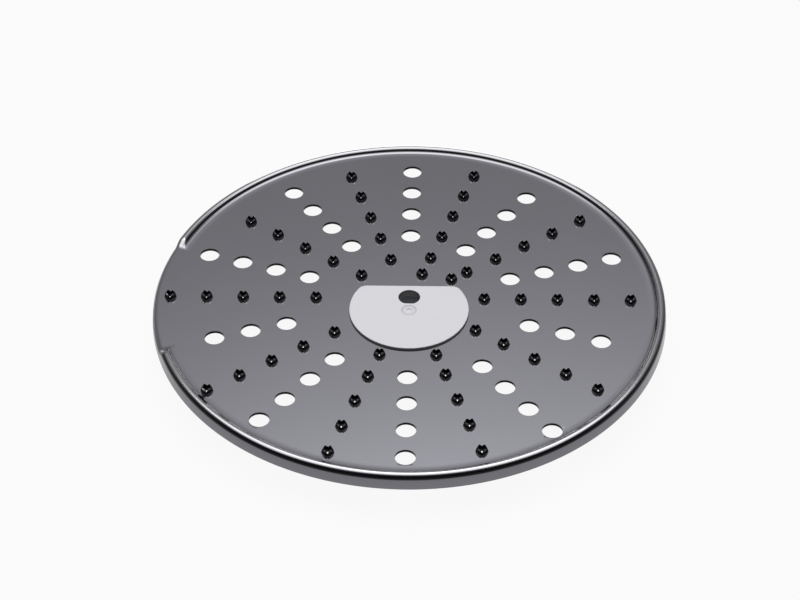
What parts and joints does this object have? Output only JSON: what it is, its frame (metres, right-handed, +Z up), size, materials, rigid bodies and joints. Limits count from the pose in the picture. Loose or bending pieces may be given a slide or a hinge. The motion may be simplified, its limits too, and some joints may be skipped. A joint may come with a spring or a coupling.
{
  "type": "food processor disc",
  "caption": "Round stamped steel grating disc with pierced petal teeth, round through holes, a beaded flanged rim and a moulded plastic drive hub.",
  "frame": {"origin": "on the disc's axis at the lower face of the hub, where the part stands", "axes": "+Z up along the disc's axis with the teeth upwards, +Y towards the straight edge of the hub plate"},
  "size_m": [0.1778, 0.1778, 0.0172],
  "materials": {
    "stainless_sheet": "bright rolled stainless steel",
    "hub_plastic": "fine matt moulded plastic"
  },
  "bodies": {
    "root": {"grating_disc": "stainless_sheet", "drive_hub": "hub_plastic"}
  },
  "joints": []
}
